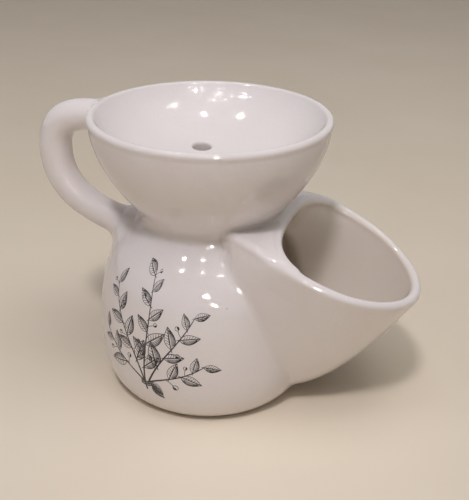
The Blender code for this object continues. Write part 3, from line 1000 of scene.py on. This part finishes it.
def sprigPrint():
    g = sprig
    leaf = penStrokes("leafDrawing", leafStrokes())
    berry = penStrokes("berryDrawing", berryStrokes())
    stems = penStrokes("stemDrawing", stemStrokes())
    tree = sprigTree()
    modifier = stems.modifiers.new("sprig", "NODES")
    modifier.node_group = tree
    values = {"Leaf": leaf, "Berry": berry, "Pot": pieces["pot"], "Ink": inkLook, "Seed": g["seed"],
              "Leaf Spacing": g["leafSpacing"] * mm, "Leaf Length": g["leafLength"] * mm,
              "Leaf Shrink": g["leafShrink"], "Splay": math.radians(g["splay"]),
              "Berry Spacing": g["berrySpacing"] * mm, "Berry Length": g["berryLength"] * mm,
              "Bare Stem": g["bareStem"], "Ink Depth": g["inkDepth"] * mm,
              "Turn": math.radians(g["turn"]), "Height": g["height"] * mm, "Belly": g["belly"] * mm}
    for item in tree.interface.items_tree:
        if item.name in values:
            modifier[item.identifier] = values[item.name]
    bpy.context.view_layer.update()
    ready = stems.evaluated_get(bpy.context.evaluated_depsgraph_get())
    mesh = bpy.data.meshes.new_from_object(ready)
    for drawing in (stems, leaf, berry):
        bpy.data.objects.remove(drawing)
    piece = bpy.data.objects.new("sprigPrint", mesh)
    bpy.context.scene.collection.objects.link(piece)
    print("sprig print", len(mesh.polygons), "faces")
    return piece


inkPiece = sprigPrint()


# Camera, floor and light.
shot = {
    "target": (10.51, 3.21, 60.79),
    "distance": 389.5,
    "rise": 25.8,
    "turn": 17.0,
    "roll": 1.29,
    "lens": 43.2,
    "filmHeight": 24.0,
}


def placeCamera():
    rise, turn, roll = (math.radians(shot[name]) for name in ("rise", "turn", "roll"))
    back = Vector((math.cos(rise) * math.sin(turn), -math.cos(rise) * math.cos(turn), math.sin(rise)))
    right = Vector((math.cos(turn), math.sin(turn), 0))
    up = back.cross(right)
    across = right * math.cos(roll) + up * math.sin(roll)
    upright = up * math.cos(roll) - right * math.sin(roll)
    data = bpy.data.cameras.new("camera")
    data.sensor_fit = "VERTICAL"
    data.sensor_height = shot["filmHeight"]
    data.lens = shot["lens"]
    camera = bpy.data.objects.new("camera", data)
    bpy.context.scene.collection.objects.link(camera)
    place = (Vector(shot["target"]) + back * shot["distance"]) * mm
    turned = Matrix((across, upright, back)).transposed().to_4x4()
    camera.matrix_world = Matrix.Translation(place) @ turned
    bpy.context.scene.camera = camera


floor = {
    "reach": 4.0,
    "pale": (0.79, 0.70, 0.565, 1),
    "paler": (0.83, 0.75, 0.62, 1),
    "cloudScale": 7.0,
    "rough": 0.8,
}


def layFloor():
    material, tree, shader = newMaterial("paleFloor")
    place = put(tree, "ShaderNodeTexCoord").outputs["Object"]
    share = spread(tree, noise(tree, place, floor["cloudScale"], 4.0), *noiseRange)
    colour = blendColour(tree, share, floor["pale"], floor["paler"])
    tree.links.new(colour, shader.inputs["Base Color"])
    shader.inputs["Roughness"].default_value = floor["rough"]
    r = floor["reach"]
    mesh = bpy.data.meshes.new("floor")
    mesh.from_pydata([(-r, -r, 0), (r, -r, 0), (r, r, 0), (-r, r, 0)], [], [(0, 1, 2, 3)])
    mesh.materials.append(material)
    ground = bpy.data.objects.new("floor", mesh)
    bpy.context.scene.collection.objects.link(ground)


lampAim = (0, 0, 0.06)
lamps = {                                # place and side in metres, watts, colour
    "ceilingPanel": ((0.2, -0.4, 1.9), 1.4, 9.8, (1.0, 0.96, 0.94)),
    "skyPanel": ((0.5, -0.1, 1.2), 0.7, 2.9, (1.0, 0.965, 0.965)),
    "frontLamp": ((0.06, -0.74, 1.2), 0.14, 6.7, (1.0, 0.95, 0.985)),
    "leftLamp": ((-0.8, -0.55, 0.85), 0.14, 0.6, (0.97, 0.94, 1.0)),
}
spots = {                                # small lamps that only show as pins in the glaze
    "ceiling": [(x, y, 1.9) for x in (-0.6, 0.1, 0.8) for y in (-0.9, 0.1)],
    "side": [(0.39, -0.86, 0.3), (0.27, -0.86, 0.48)],
    "size": 0.02,
    "watts": {"ceiling": 3.0, "side": 1.6},
    "colour": (1.0, 0.96, 0.93),
}
room = {
    "colour": (1.0, 0.96, 0.93, 1),
    "fill": 0.05,         # what the room adds to the lamps
    "mirrored": 0.75,     # how bright the room shows in the glaze
}


def hangLamp(name, place, size, watts, colour, shape="SQUARE"):
    data = bpy.data.lights.new(name, "AREA")
    data.shape = shape
    data.size = size
    data.energy = watts
    data.color = colour
    lamp = bpy.data.objects.new(name, data)
    lamp.location = place
    lamp.rotation_euler = (Vector(lampAim) - Vector(place)).to_track_quat("-Z", "Y").to_euler()
    lamp.visible_glossy = shape == "DISK"    # only the small lamps show in the glaze
    bpy.context.scene.collection.objects.link(lamp)
    return lamp


def lightStudio():
    for name, lamp in lamps.items():
        hangLamp(name, *lamp)
    for row, watts in spots["watts"].items():
        for place in spots[row]:
            lamp = hangLamp(row + "Spot", place, spots["size"], watts, spots["colour"], "DISK")
            lamp.visible_diffuse = False
    world = bpy.data.worlds.new("studio")
    world.use_nodes = True
    tree = world.node_tree
    ray = put(tree, "ShaderNodeLightPath").outputs
    seen = math2(tree, "MAXIMUM", ray["Is Camera Ray"], ray["Is Glossy Ray"])
    sky = tree.nodes["Background"].inputs
    sky["Color"].default_value = room["colour"]
    tree.links.new(spread(tree, seen, 0.0, 1.0, room["fill"], room["mirrored"]), sky["Strength"])
    bpy.context.scene.world = world


placeCamera()
layFloor()
lightStudio()
bpy.context.scene.view_settings.view_transform = "Standard"
print("studio ready")

stoodFor = {
    "pot": ("pot", "neck_slip"),
    "soapDish": ("soap_dish",),
    "spout": ("spout", "spout_slip"),
    "handle": ("handle", "handle_top_slip", "handle_foot_slip"),
}
for name, piece in pieces.items():
    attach(piece, "root")
    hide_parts(*stoodFor[name])
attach(inkPiece, "root")
